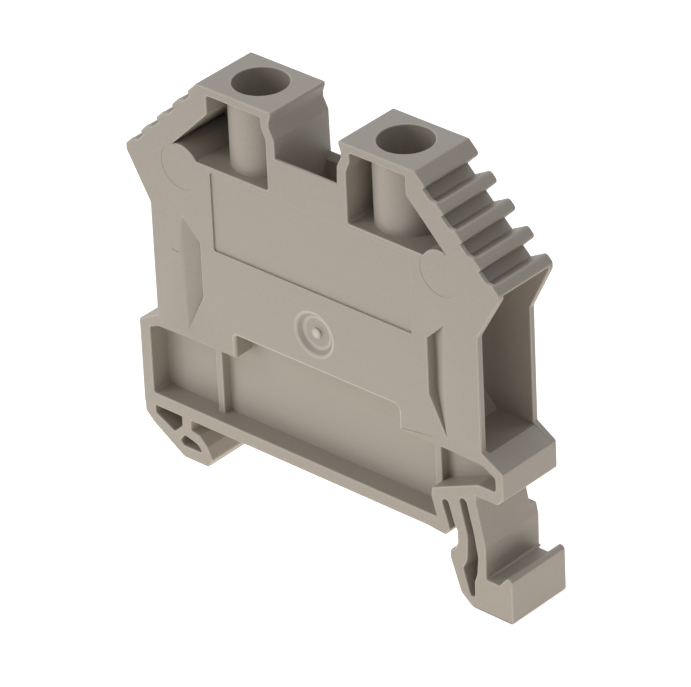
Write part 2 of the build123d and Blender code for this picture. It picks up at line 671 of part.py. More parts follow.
def screw(x):
    """Slotted clamping screw, turned about its own axis: point, shank and cheese head."""
    tip_z = BAR_TOP_Z + POINT_CLEARANCE
    top_z = HEAD_Z + HEAD_HEIGHT
    half_section = make_face(FilletPolyline(
        (0, tip_z),
        (POINT_RADIUS, tip_z),
        (POINT_RADIUS, tip_z + POINT_LENGTH),
        (THREAD_RADIUS - SCREW_CHAMFER, tip_z + POINT_LENGTH),
        (THREAD_RADIUS, tip_z + POINT_LENGTH + SCREW_CHAMFER),
        (THREAD_RADIUS, HEAD_Z),
        (HEAD_RADIUS, HEAD_Z),
        (HEAD_RADIUS, top_z - SCREW_CHAMFER),
        (HEAD_RADIUS - SCREW_CHAMFER, top_z),
        (0, top_z),
        radius=0,
        close=True,
    ))
    turned = revolve(Plane.XZ * half_section, Axis.Z)
    size = Box(2 * HEAD_RADIUS + PAST, DRIVER_SLOT, 2 * DRIVER_SLOT_DEPTH)
    return Pos(x, WELL_Y, 0) * (turned - Pos(0, 0, top_z) * size)


def write(name, solid):
    """Write one node's file."""
    export_step(solid, os.path.join("parts", name + ".step"))


os.makedirs("parts", exist_ok=True)
write("housing", housing())
write("current_bar", current_bar())
write("left_clamp_yoke", yoke(-WELL_X))
write("right_clamp_yoke", yoke(WELL_X))
write("left_clamp_screw", screw(-WELL_X))
write("right_clamp_screw", screw(WELL_X))
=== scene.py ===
"""Grey feed-through terminal block on a pale studio floor.

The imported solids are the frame. Each piece here is worked up from its solid: the moulded housing
and the metal strip parts get softened edges, and the clamping screws get their thread.
"""

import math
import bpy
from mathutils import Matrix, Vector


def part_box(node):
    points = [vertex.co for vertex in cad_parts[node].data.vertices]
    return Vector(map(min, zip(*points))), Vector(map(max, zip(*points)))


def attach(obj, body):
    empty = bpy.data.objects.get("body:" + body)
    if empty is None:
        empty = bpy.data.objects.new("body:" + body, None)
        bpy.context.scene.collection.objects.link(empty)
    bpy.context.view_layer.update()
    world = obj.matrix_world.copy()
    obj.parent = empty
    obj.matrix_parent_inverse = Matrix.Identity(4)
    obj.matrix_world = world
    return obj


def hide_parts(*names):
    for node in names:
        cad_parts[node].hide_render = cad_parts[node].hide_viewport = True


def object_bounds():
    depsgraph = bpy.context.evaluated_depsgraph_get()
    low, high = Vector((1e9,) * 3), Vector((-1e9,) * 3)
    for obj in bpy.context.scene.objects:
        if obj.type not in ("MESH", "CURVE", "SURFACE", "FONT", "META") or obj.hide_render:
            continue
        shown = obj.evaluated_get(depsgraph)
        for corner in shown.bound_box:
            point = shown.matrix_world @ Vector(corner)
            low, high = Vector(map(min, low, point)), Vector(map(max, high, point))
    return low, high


bl_info = {
    "name": "Feed-through terminal block",
    "version": (1, 0, 0),
    "blender": (4, 5, 0),
    "location": "3D View > Sidebar > Terminal block",
    "description": "Makes the housing, the metal parts and the stage of a rail-mounted block",
    "category": "Object",
}

from itertools import combinations

import bmesh
import bpy
from bpy.props import FloatProperty, FloatVectorProperty, IntProperty, PointerProperty
from mathutils import Matrix, Vector
from mathutils.geometry import area_tri, delaunay_2d_cdt
from mathutils.kdtree import KDTree

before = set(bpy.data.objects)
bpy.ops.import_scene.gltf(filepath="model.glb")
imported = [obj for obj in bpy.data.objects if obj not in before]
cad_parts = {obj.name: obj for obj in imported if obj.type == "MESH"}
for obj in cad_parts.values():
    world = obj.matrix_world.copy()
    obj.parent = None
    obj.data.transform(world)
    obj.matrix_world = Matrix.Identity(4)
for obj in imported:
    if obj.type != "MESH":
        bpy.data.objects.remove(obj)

MM = 0.001
CAD_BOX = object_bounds()
CLOSED_FACE_Y = CAD_BOX[0][1]
GROUND_Z = CAD_BOX[0][2]
SIDES = ("left", "right")

# Small marks on the closed face.
PIN_X = 17.0 * MM
PIN_Z = 30.05 * MM
PIN_FACETS = 64
GATE_PLACE = Vector((0.0, -3.95, 16.8)) * MM  # just before the stub in the dimple
GATE_RIM = 2.6 * MM
GATE_CORNER = math.radians(30)
STUB_RADIUS = 0.65 * MM
NICK_PLACE = Vector((-18.4, -4.1, 19.9)) * MM
NICK_SIZE = Vector((0.9, 0.08, 0.12)) * MM
NICK_TILT = math.radians(8)
CUTTER_REACH = 1.0 * MM  # how far a cutter stands out of the face that it cuts

# Where the upper edge of the hollow in the closed face runs.
RIM_LOW = 9.3 * MM
RIM_HIGH = 12.9 * MM
RIM_HALF = 21.6 * MM

# How corners, flat areas and edges are told apart.
MERGED = 0.002 * MM  # corners this near to each other become one
TOUCHING = 0.001 * MM  # and this near after a rounding, or to a plane
LEVEL = 0.01 * MM  # an edge that lies flat rises or falls by less than this
FLAT = math.radians(0.6)
CREASE = math.radians(33)
SHALLOW_STEP = math.radians(50)
SHEARED_EDGE = math.radians(40)
ARC_FACET = math.radians(14)
ARC_LENGTH = 2.0 * MM
ARC_STRAIGHT = 0.99  # the share of an arc's edge that runs from front to back
NARROW_CORNER = math.radians(25)
FACE_WIDTH = 2.2  # a rounded edge's faces are this many radii wide or more
FLAT_FACE_WEIGHT = 80  # how far large faces decide the shading of the roundings beside them

# How the roundings are mended.
STRAY = 2.2  # a corner further from its edge than this many radii was thrown off
FOLDED = 1.02  # a folded face is drawn with so much more area than it covers
FOLDED_AREA = 0.05 * MM ** 2
SAME_POINT = 1e-5  # in millimetres

# The screws' thread, as shares of the pitch and whether the point lies on the crest.
THREAD_PROFILE = (
    (0.0, False), (0.1, False), (0.45, True), (0.55, True), (0.9, False), (1.0, False),
)
THREAD_OVERLAP = 0.1 * MM  # how far the thread reaches into the head
SHANK_OVERLAP = 0.2 * MM  # and the plain shank inside it

# Sizes of the metals' patterns. The pits of real plating are some 0.01 mm and wouldn't show.
TARNISH_SIZE = 3.0 * MM
MOTTLE_SIZE = 1.2 * MM
PIT_SIZE = 0.15 * MM

# The studio. A light's direction is from the point that the camera looks at, its distance and
# size are in metres and its power in watts. The table sheet faces up, at a place above the floor.
WORLD_STRENGTH = 0.29
SENSOR_WIDTH = 36.0  # in millimetres, as the lens is
CLIP = (0.01, 20.0)
FLOOR_HALF = 3.0
FLOOR_GAP = 0.02 * MM
FLOOR_GLOW = 0.85  # what the camera sees besides the lit paper, so that it is white
SOFTBOXES = (
    ("front_left", (-0.6, -1.0, 0.15), 0.55, 0.3, 0.8, "#FDFEFF"),
    ("glint", (-0.58, -0.52, 0.63), 0.5, 0.1, 0.25, "#FFFFFF"),
    ("behind_left", (-0.4, 0.5, 1.0), 0.55, 0.3, 0.44, "#FBF8FF"),
    ("behind_right", (0.2, 0.6, 1.0), 0.55, 0.3, 0.3, "#FBF8FF"),
)
TABLE_SHEET = ((0.02, -0.045, 0.0001), 0.18, 0.058, "#FFF3E6")


def linear(code):
    """Linear colour of an sRGB hex value such as #A8A196, opaque."""
    shares = [int(code[start:start + 2], 16) / 255 for start in (1, 3, 5)]
    return (*[c / 12.92 if c <= 0.04045 else ((c + 0.055) / 1.055) ** 2.4 for c in shares], 1.0)


def length(name, description, millimetres):
    """Length setting with its default in millimetres."""
    return FloatProperty(name=name, description=description, default=millimetres * MM, min=0.0,
                         precision=5, unit="LENGTH")


def colour(name, description, code):
    """Colour setting with its default as an sRGB hex value."""
    return FloatVectorProperty(name=name, description=description, default=linear(code), size=4,
                               min=0.0, max=1.0, subtype="COLOR")


class HousingSettings(bpy.types.PropertyGroup):
    """Sizes and colours of the moulded housing."""

    edge_radius: length("Edge rounding", "How far the moulded edges are rounded", 0.14)
    rim_radius: length("Rim rounding", "Rounding of the front hollow's upper edge", 0.34)
    fine_radius: length("Fine rounding", "Rounding of the edges of shallow steps", 0.05)
    arc_facet: length("Arc facet", "How far the coarse facets of small arcs are cut back", 0.04)
    pin_radius: length("Ejector mark radius", "Radius of the two round ejector marks", 2.56)
    pin_depth: length("Ejector mark depth", "How far the ejector marks sink in", 0.025)
    gate_soften: length("Dimple rounding", "Rounding of the gate dimple's rim and floor", 0.2)
    stub_round: length("Stub rounding", "Rounding of the gate's stub", 0.1)
    polyamide: colour("Polyamide", "Colour of the moulded plastic", "#AEA69B")
    flow_mark: colour("Flow marks", "Darker tone where the melt flowed together", "#A8A196")
    # Painted highlight: the lighter tone put on the rounded edges, for the light that they catch.
    painted_edge_highlight: colour("Edges", "Lighter tone that thin rounded edges show", "#CBC4B9")
    # A paler tone drawn on a spot round the gate's stub.
    gate_spot_tone: colour("Strained plastic", "Whitened plastic where the gate broke off", "#D6D1C8")
    grain_size: length("Grain", "Size of the eroded grain that the mould leaves", 0.28)
    streak_length: length("Flow streak", "Length of the faint streaks of the flow", 2.6)


class BarSettings(bpy.types.PropertyGroup):
    """Sizes and colours of the current bar."""

    edge_radius: length("Edge rounding", "Rounding that tumbling leaves on the sheared edges", 0.1)
    tin: colour("Tin", "Colour of the tin plating", "#D8D5CE")
    tarnish: colour("Tarnish", "Duller tone of handled tin", "#BDB9B0")
    rolling_line: length("Rolling lines", "Spacing of the lines that rolling leaves", 0.12)


class YokeSettings(bpy.types.PropertyGroup):
    """Sizes and colours of the clamp yokes."""

    edge_radius: length("Edge rounding", "Rounding that tumbling leaves on the sheared edges", 0.1)
    zinc: colour("Zinc", "Colour of the clear-passivated zinc plating", "#C4C7CA")
    zinc_shade: colour("Zinc shade", "Greyer tone of the plating", "#B8BBBF")


class ScrewSettings(bpy.types.PropertyGroup):
    """Sizes of the clamping screws. Their plating is that of the yokes."""

    thread_pitch: length("Thread pitch", "Rise of the thread in one turn", 0.7)
    thread_depth: length("Thread depth", "Depth of the thread below its crest", 0.4)
    slot_width: length("Slot width", "Width of the driver slot", 1.0)
    slot_depth: length("Slot depth", "Depth of the driver slot", 1.3)
    head_radius: length("Head radius", "Radius of the cheese head", 2.75)
    head_height: length("Head height", "Height of the cheese head", 2.6)
    shank_radius: length("Shank radius", "Radius over the thread's crest", 2.0)
    point_radius: length("Point radius", "Radius of the plain point", 1.4)
    point_length: length("Point length", "Length of the plain point", 0.8)
    edge_radius: length("Edge rounding", "Chamfer of the head and the point", 0.25)
    steps: IntProperty(name="Steps", description="Steps in one turn", default=48, min=16, max=96)


class StageSettings(bpy.types.PropertyGroup):
    """Camera and floor."""

    aim: FloatVectorProperty(name="Aim", description="Point that the camera looks at",
                             default=(4.215 * MM, -4.109 * MM, 17.388 * MM), precision=5,
                             subtype="XYZ", unit="LENGTH")
    azimuth: FloatProperty(name="Azimuth",
                           description="Camera's turn round the block, from the closed face",
                           default=math.radians(42.84), subtype="ANGLE")
    elevation: FloatProperty(name="Elevation", description="Camera's height above the horizon",
                             default=math.radians(31.31), subtype="ANGLE")
    roll: FloatProperty(name="Roll", description="Camera's turn about its own line of sight",
                        default=math.radians(-2.738), subtype="ANGLE")
    distance: length("Distance", "From the camera to the point that it looks at", 657.16)
    lens: FloatProperty(name="Lens", description="Focal length in millimetres", default=348.16,
                        min=1.0, unit="CAMERA")
    floor: colour("Floor", "Colour of the floor", "#F4F3F1")


def settings(name):
    """This scene's settings of one group."""
    return getattr(bpy.context.scene, "terminal_block_" + name)


def merged_copy(node):
    """Copy of a CAD node's triangles, joined at their corners and with flat areas made whole."""
    mesh = bmesh.new()
    mesh.from_mesh(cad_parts[node].data)
    bmesh.ops.remove_doubles(mesh, verts=mesh.verts, dist=MERGED)
    bmesh.ops.dissolve_limit(mesh, angle_limit=FLAT, use_dissolve_boundaries=False,
                             verts=mesh.verts, edges=mesh.edges, delimit=set())
    return mesh


def across(face, edge):
    """How far a face reaches from one of its edges."""
    start = edge.verts[0].co
    along = (edge.verts[1].co - start).normalized()
    offsets = [vert.co - start for vert in face.verts]
    return max((offset - along * offset.dot(along)).length for offset in offsets)


def outer_edges(mesh, angle, least=0.0):
    """Outer edges whose faces meet at more than an angle and both reach at least so far.

    Of two that nearly run together at a corner, the shorter is left out.
    """
    outer = {edge for edge in mesh.edges
             if edge.is_manifold and edge.calc_face_angle_signed() > angle
             and least <= min(across(face, edge) for face in edge.link_faces)}
    crowded = set()
    for vert in mesh.verts:
        for pair in combinations([edge for edge in vert.link_edges if edge in outer], 2):
            if set(pair[0].link_faces) & set(pair[1].link_faces):
                ways = [edge.other_vert(vert).co - vert.co for edge in pair]
                if ways[0].angle(ways[1], 0.0) < NARROW_CORNER:
                    crowded.add(min(pair, key=lambda edge: edge.calc_length()))
    return [edge for edge in mesh.edges if edge in outer and edge not in crowded]


def points_along(edges, spacing):
    """Search tree of points along some edges."""
    points = []
    for edge in edges:
        first, last = (vert.co for vert in edge.verts)
        steps = max(1, math.ceil((last - first).length / spacing))
        points.extend(first.lerp(last, step / steps) for step in range(steps + 1))
    tree = KDTree(len(points))
    for number, point in enumerate(points):
        tree.insert(point, number)
    tree.balance()
    return tree


def round_edges(mesh, edges, radius, segments=3, mark=True):
    """Round some edges of a mesh, and mark the new faces, which the housing's material paints with
    a lighter tone as a painted edge highlight.

    Where two edges meet at a very narrow angle, the bevel throws a corner far off. Such a corner
    goes back to the nearest one that kept its place.
    """
    layers = mesh.faces.layers.float
    rounded = layers.get("rounded") or layers.new("rounded")
    along = points_along(edges, radius / 2)
    made = bmesh.ops.bevel(mesh, geom=edges, offset=radius, offset_type="OFFSET",
                           segments=segments, profile=0.5, affect="EDGES", clamp_overlap=False,
                           material=-1, loop_slide=False, miter_outer="SHARP",
                           miter_inner="SHARP")
    for face in made["faces"]:
        face[rounded] = max(face[rounded], float(mark))
    stray = {vert for vert in made["verts"] if along.find(vert.co)[2] > STRAY * radius}
    for vert in stray:
        others = [edge.other_vert(vert) for edge in vert.link_edges]
        kept = [other.co.copy() for other in others if other not in stray]
        if kept:
            vert.co = min(kept, key=lambda place: (place - vert.co).length)
    bmesh.ops.remove_doubles(mesh, verts=mesh.verts, dist=TOUCHING)


def fill_again(mesh):
    """Fill anew the faces whose outline folds over itself where two roundings meet.

    Seen flat, such a face covers less than the triangles that it is drawn with.
    """
    drawn = dict.fromkeys(mesh.faces, 0.0)
    for loops in mesh.calc_loop_triangles():
        drawn[loops[0].face] += area_tri(*(loop.vert.co for loop in loops))
    folded = [face for face, area in drawn.items()
              if area > FOLDED * face.calc_area() + FOLDED_AREA]
    for face in folded:
        level = face.normal.to_track_quat("Z", "Y").to_matrix()
        corners = list(face.verts)
        flat = [level.transposed() @ vert.co / MM for vert in corners]
        height = sum(point.z for point in flat) / len(flat)
        points, _, triangles, sources, _, _ = delaunay_2d_cdt(
            [point.to_2d() for point in flat], [], [list(range(len(flat)))], 1, SAME_POINT)
        verts = [corners[source[0]] if source
                 else mesh.verts.new(level @ Vector((*point, height)) * MM)
                 for point, source in zip(points, sources)]
        for triangle in triangles:
            made = [verts[index] for index in triangle]
            if len(set(made)) == 3 and not mesh.faces.get(made):
                new = mesh.faces.new(made)
                new.normal_update()
                if new.normal.dot(face.normal) < 0:
                    new.normal_flip()
    bmesh.ops.delete(mesh, geom=folded, context="FACES_ONLY")


def show(name, mesh, material, body, slot, *nodes):
    """Put a finished mesh in the scene, riding on a body and standing for the CAD nodes."""
    for face in mesh.faces:
        face.smooth = True
    for edge in mesh.edges:
        edge.smooth = not edge.is_manifold or edge.calc_face_angle() < CREASE
    data = bpy.data.meshes.new(name)
    mesh.to_mesh(data)
    mesh.free()
    data.materials.append(material)
    piece = bpy.data.objects.new(name, data)
    bpy.context.scene.collection.objects.link(piece)
    weighted = piece.modifiers.new("even_faces", "WEIGHTED_NORMAL")
    weighted.mode = "FACE_AREA"
    weighted.weight = FLAT_FACE_WEIGHT
    weighted.keep_sharp = True
    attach(piece, body)
    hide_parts(*nodes)


def add_node(tree, kind, values=None, **links):
    """Add a node with its settings. A link gives the socket that feeds the input of that name."""
    node = tree.nodes.new(kind)
    for name, value in (values or {}).items():
        if isinstance(name, int) or name in node.inputs:
            node.inputs[name].default_value = value
        else:
            setattr(node, name, value)
    for name, source in links.items():
        tree.links.new(source, node.inputs[name.replace("_", " ")])
    return node


def new_material(name):
    """Empty material with its output node."""
    material = bpy.data.materials.new(name)
    material.use_nodes = True
    tree = material.node_tree
    tree.nodes.clear()
    return material, tree, add_node(tree, "ShaderNodeOutputMaterial")


def moulded_polyamide():
    """Grey polyamide 6.6, injection moulded in a spark-eroded mould."""
    # The mould leaves a fine grain and the melt faint streaks along the block, so the eye sees an
    # even, satin grey. The rounded edges get a painted highlight, a lighter tone for the light
    # that they catch, and a spot round the gate's stub is drawn paler. The real grain, about
    # 0.03 mm, is drawn coarser to show.
    sizes = settings("housing")
    material, tree, output = new_material("moulded_grey_polyamide")
    place = add_node(tree, "ShaderNodeTexCoord").outputs["Object"]
    grain = add_node(tree, "ShaderNodeTexNoise",
                     {"Scale": 1 / sizes.grain_size, "Detail": 3.0, "Roughness": 0.6},
                     Vector=place)
    stretched = add_node(tree, "ShaderNodeMapping", {"Scale": (1.0, 5.0, 5.0)}, Vector=place)
    streak = add_node(tree, "ShaderNodeTexNoise",
                      {"Scale": 1 / sizes.streak_length, "Detail": 4.0, "Roughness": 0.55},
                      Vector=stretched.outputs["Vector"])
    both = add_node(tree, "ShaderNodeMix", {"data_type": "FLOAT", "Factor": 0.22},
                    A=grain.outputs["Fac"], B=streak.outputs["Fac"])
    tone = add_node(tree, "ShaderNodeValToRGB", None, Fac=both.outputs["Result"])
    dark, light = tone.color_ramp.elements
    dark.position, dark.color = 0.35, sizes.flow_mark
    light.position, light.color = 0.65, sizes.polyamide
    # A paler spot round the gate's stub.
    gate = add_node(tree, "ShaderNodeMapping",
                    {"Location": -GATE_PLACE / STUB_RADIUS, "Scale": (1 / STUB_RADIUS,) * 3},
                    Vector=place)
    near_gate = add_node(tree, "ShaderNodeTexGradient", {"gradient_type": "SPHERICAL"},
                         Vector=gate.outputs["Vector"])
    paler_near_gate = add_node(tree, "ShaderNodeMapRange", {"From Max": 0.5, "To Max": 0.8},
                        Value=near_gate.outputs["Fac"])
    # Inputs 6 and 7 and output 2 are a Mix node's colours: its other kinds share their names.
    shade = add_node(tree, "ShaderNodeMix", {"data_type": "RGBA", 7: sizes.gate_spot_tone},
                     Factor=paler_near_gate.outputs["Result"])
    tree.links.new(tone.outputs["Color"], shade.inputs[6])
    # Painted highlight: the faces that a rounding made are mixed toward a lighter tone.
    rounded = add_node(tree, "ShaderNodeAttribute", {"attribute_name": "rounded"})
    edge_highlight_share = add_node(tree, "ShaderNodeMapRange", {"To Max": 0.7}, Value=rounded.outputs["Fac"])
    skin = add_node(tree, "ShaderNodeMix", {"data_type": "RGBA", 7: sizes.painted_edge_highlight},
                    Factor=edge_highlight_share.outputs["Result"])
    tree.links.new(shade.outputs[2], skin.inputs[6])
    gloss = add_node(tree, "ShaderNodeMapRange", {"To Min": 0.4, "To Max": 0.54},
                     Value=grain.outputs["Fac"])
    relief = add_node(tree, "ShaderNodeBump", {"Strength": 0.25, "Distance": 0.02 * MM},
                      Height=grain.outputs["Fac"])
    surface = add_node(tree, "ShaderNodeBsdfPrincipled", {"IOR": 1.53},
                       Base_Color=skin.outputs[2], Roughness=gloss.outputs["Result"],
                       Normal=relief.outputs["Normal"])
    tree.links.new(surface.outputs["BSDF"], output.inputs["Surface"])
    return material


def tinned_copper():
    """Rolled copper strip with a thin tin plating."""
    # Rolling draws fine lines along the strip and tinning covers the copper's red, so the eye
    # sees a pale, slightly warm metal, duller in clouds where it was handled. The real lines are
    # about 0.02 mm apart and are drawn coarser to show.
    sizes = settings("bar")
    material, tree, output = new_material("tinned_rolled_copper")
    place = add_node(tree, "ShaderNodeTexCoord").outputs["Object"]
    stretched = add_node(tree, "ShaderNodeMapping", {"Scale": (0.03, 1.0, 1.0)}, Vector=place)
    lines = add_node(tree, "ShaderNodeTexNoise", {"Scale": 1 / sizes.rolling_line, "Detail": 2.0},
                     Vector=stretched.outputs["Vector"])
    clouds = add_node(tree, "ShaderNodeTexNoise", {"Scale": 1 / TARNISH_SIZE, "Detail": 3.0},
                      Vector=place)
    tone = add_node(tree, "ShaderNodeValToRGB", None, Fac=clouds.outputs["Fac"])
    dark, light = tone.color_ramp.elements
    dark.position, dark.color = 0.3, sizes.tarnish
    light.position, light.color = 0.7, sizes.tin
    gloss = add_node(tree, "ShaderNodeMapRange", {"To Min": 0.26, "To Max": 0.42},
                     Value=clouds.outputs["Fac"])
    relief = add_node(tree, "ShaderNodeBump", {"Strength": 0.2, "Distance": 0.01 * MM},
                      Height=lines.outputs["Fac"])
    surface = add_node(tree, "ShaderNodeBsdfPrincipled", {"Metallic": 1.0},
                       Base_Color=tone.outputs["Color"], Roughness=gloss.outputs["Result"],
                       Normal=relief.outputs["Normal"])
    tree.links.new(surface.outputs["BSDF"], output.inputs["Surface"])
    return material


def zinc_plated_steel():
    """Steel with barrel-plated zinc and a clear passivation."""
    # Parts rub together in the barrel and the plating grows in small crystals, so the eye sees a
    # cool, softly mottled, satin metal.
    sizes = settings("yoke")
    material, tree, output = new_material("zinc_plated_steel")
    place = add_node(tree, "ShaderNodeTexCoord").outputs["Object"]
    mottle = add_node(tree, "ShaderNodeTexNoise", {"Scale": 1 / MOTTLE_SIZE, "Detail": 4.0},
                      Vector=place)
    pits = add_node(tree, "ShaderNodeTexNoise", {"Scale": 1 / PIT_SIZE, "Detail": 2.0},
                    Vector=place)
    tone = add_node(tree, "ShaderNodeValToRGB", None, Fac=mottle.outputs["Fac"])
    dark, light = tone.color_ramp.elements
    dark.position, dark.color = 0.35, sizes.zinc_shade
    light.position, light.color = 0.65, sizes.zinc
    gloss = add_node(tree, "ShaderNodeMapRange", {"To Min": 0.3, "To Max": 0.38},
                     Value=mottle.outputs["Fac"])
    relief = add_node(tree, "ShaderNodeBump", {"Strength": 0.15, "Distance": 0.01 * MM},
                      Height=pits.outputs["Fac"])
    surface = add_node(tree, "ShaderNodeBsdfPrincipled", {"Metallic": 1.0},
                       Base_Color=tone.outputs["Color"], Roughness=gloss.outputs["Result"],
                       Normal=relief.outputs["Normal"])
    tree.links.new(surface.outputs["BSDF"], output.inputs["Surface"])
    return material


def shared_zinc():
    """The zinc plating, made once."""
    return bpy.data.materials.get("zinc_plated_steel") or zinc_plated_steel()


def coarse_arcs(mesh):
    """Edges from front to back between the coarse facets of a rounded crest or corner."""
    return [edge for edge in mesh.edges
            if edge.is_manifold and ARC_FACET < edge.calc_face_angle_signed() < CREASE
            and abs(edge.verts[1].co.y - edge.verts[0].co.y)
            > ARC_STRAIGHT * edge.calc_length() > ARC_LENGTH]


def cylinder_into_face(mesh, x, z, radius, depth):
    """Add a short cylinder that reaches so far into the closed face."""
    made = bmesh.ops.create_cone(mesh, cap_ends=True, cap_tris=False, segments=PIN_FACETS,
                                 radius1=radius, radius2=radius,
                                 depth=CUTTER_REACH + depth)["verts"]
    bmesh.ops.rotate(mesh, verts=made, cent=(0, 0, 0),
                     matrix=Matrix.Rotation(math.pi / 2, 3, "X"))
    bmesh.ops.translate(mesh, verts=made,
                        vec=(x, CLOSED_FACE_Y + (depth - CUTTER_REACH) / 2, z))


def sunk_marks(sizes):
    """Cutter for the two ejector marks and the small nick on the closed face."""
    mesh = bmesh.new()
    for x in (-PIN_X, PIN_X):
        cylinder_into_face(mesh, x, PIN_Z, sizes.pin_radius, sizes.pin_depth)
    nick = bmesh.ops.create_cube(mesh, size=1.0)["verts"]
    bmesh.ops.scale(mesh, verts=nick, vec=NICK_SIZE)
    bmesh.ops.rotate(mesh, verts=nick, cent=(0, 0, 0), matrix=Matrix.Rotation(NICK_TILT, 3, "Y"))
    bmesh.ops.translate(mesh, verts=nick, vec=NICK_PLACE)
    return mesh


def taken_out(mesh, cutter):
    """The mesh with the cutter's shape taken out of it."""
    pieces = []
    for name, part in (("whole", mesh), ("cutter", cutter)):
        data = bpy.data.meshes.new(name)
        part.to_mesh(data)
        part.free()
        piece = bpy.data.objects.new(name, data)
        bpy.context.scene.collection.objects.link(piece)
        pieces.append(piece)
    cut = pieces[0].modifiers.new("cut", "BOOLEAN")
    cut.operation = "DIFFERENCE"
    cut.solver = "EXACT"
    cut.object = pieces[1]
    result = bmesh.new()
    result.from_mesh(pieces[0].evaluated_get(bpy.context.evaluated_depsgraph_get()).data)
    for piece in pieces:
        bpy.data.meshes.remove(piece.data)
    return result


def gate_edges(mesh, least, most):
    """Edges of the gate dimple between two distances from its middle."""
    def near(vert):
        return least <= math.hypot(vert.co.x - GATE_PLACE.x, vert.co.z - GATE_PLACE.z) < most
    return [edge for edge in mesh.edges
            if edge.is_manifold and edge.calc_face_angle() > GATE_CORNER
            and all(map(near, edge.verts))
            and abs(edge.verts[0].co.y - edge.verts[1].co.y) < LEVEL]


def hollow_rim(mesh):
    """Upper edge of the hollow in the closed face, which is rounder than the other edges."""
    def on_rim(vert):
        return (abs(vert.co.y - CLOSED_FACE_Y) < LEVEL and RIM_LOW < vert.co.z < RIM_HIGH
                and abs(vert.co.x) < RIM_HALF)
    return [edge for edge in outer_edges(mesh, CREASE) if all(map(on_rim, edge.verts))]


class TERMINALBLOCK_OT_housing(bpy.types.Operator):
    """Make the moulded housing with its softened edges."""

    bl_idname = "terminal_block.housing"
    bl_label = "Housing"

    def execute(self, context):
        sizes = settings("housing")
        mesh = taken_out(merged_copy("housing"), sunk_marks(sizes))
        round_edges(mesh, gate_edges(mesh, STUB_RADIUS, GATE_RIM), sizes.gate_soften, 4)
        round_edges(mesh, gate_edges(mesh, 0.0, STUB_RADIUS), sizes.stub_round)
        round_edges(mesh, hollow_rim(mesh), sizes.rim_radius, 4)
        round_edges(mesh, coarse_arcs(mesh), sizes.arc_facet, 1, mark=False)
        for angle, radius in ((CREASE, sizes.edge_radius), (SHALLOW_STEP, sizes.fine_radius)):
            round_edges(mesh, outer_edges(mesh, angle, FACE_WIDTH * radius), radius)
        fill_again(mesh)
        show("moulded_housing", mesh, moulded_polyamide(), "block", "housing", "housing")
        return {"FINISHED"}


class TERMINALBLOCK_OT_current_bar(bpy.types.Operator):
    """Make the current bar with its tumbled edges."""

    bl_idname = "terminal_block.current_bar"
    bl_label = "Current bar"

    def execute(self, context):
        mesh = merged_copy("current_bar")
        round_edges(mesh, outer_edges(mesh, SHEARED_EDGE), settings("bar").edge_radius)
        show("tinned_current_bar", mesh, tinned_copper(), "block", "bar", "current_bar")
        return {"FINISHED"}


class TERMINALBLOCK_OT_clamp_yokes(bpy.types.Operator):
    """Make the two folded clamp yokes with their tumbled edges."""

    bl_idname = "terminal_block.clamp_yokes"
    bl_label = "Clamp yokes"

    def execute(self, context):
        for side in SIDES:
            mesh = merged_copy(side + "_clamp_yoke")
            round_edges(mesh, outer_edges(mesh, SHEARED_EDGE), settings("yoke").edge_radius)
            show(side + "_yoke", mesh, shared_zinc(), side + "_yoke", "clamp",
                 side + "_clamp_yoke")
        return {"FINISHED"}


def open_profile(mesh, profile, axis):
    """Row of points and edges beside an upright axis, from radii and heights."""
    points = [mesh.verts.new((axis[0] + radius, axis[1], z)) for radius, z in profile]
    return points + [mesh.edges.new(pair) for pair in zip(points, points[1:])]


def turned(profile, axis, steps):
    """Closed shape from a profile of radii and heights turned about an upright axis."""
    mesh = bmesh.new()
    bmesh.ops.spin(mesh, geom=open_profile(mesh, profile, axis), cent=(*axis, 0), axis=(0, 0, 1),
                   dvec=(0, 0, 0), angle=2 * math.pi, steps=steps, use_merge=True)
    bmesh.ops.remove_doubles(mesh, verts=mesh.verts, dist=TOUCHING)
    return mesh


def threaded(low, high, axis, sizes):
    """Thread between two heights: its profile climbs as it turns, and both ends are cut flat."""
    mesh = bmesh.new()
    pitch = sizes.thread_pitch
    crest = sizes.shank_radius
    root = crest - sizes.thread_depth
    start = low - pitch
    profile = [(crest if on_crest else root, start + share * pitch)
               for share, on_crest in THREAD_PROFILE]
    turns = math.ceil((high - start) / pitch) + 1
    bmesh.ops.spin(mesh, geom=open_profile(mesh, profile, axis), cent=(*axis, 0), axis=(0, 0, 1),
                   dvec=(0, 0, pitch / sizes.steps), angle=2 * math.pi * turns,
                   steps=sizes.steps * turns)
    bmesh.ops.remove_doubles(mesh, verts=mesh.verts, dist=MERGED)
    for height, outwards in ((low, -1), (high, 1)):
        bmesh.ops.bisect_plane(mesh, geom=mesh.verts[:] + mesh.edges[:] + mesh.faces[:],
                               dist=1e-7, plane_co=(0, 0, height), plane_no=(0, 0, outwards),
                               clear_outer=True)
        rim = [edge for edge in mesh.edges if edge.is_boundary
               and all(abs(vert.co.z - height) < TOUCHING for vert in edge.verts)]
        bmesh.ops.holes_fill(mesh, edges=rim, sides=0)
    return mesh


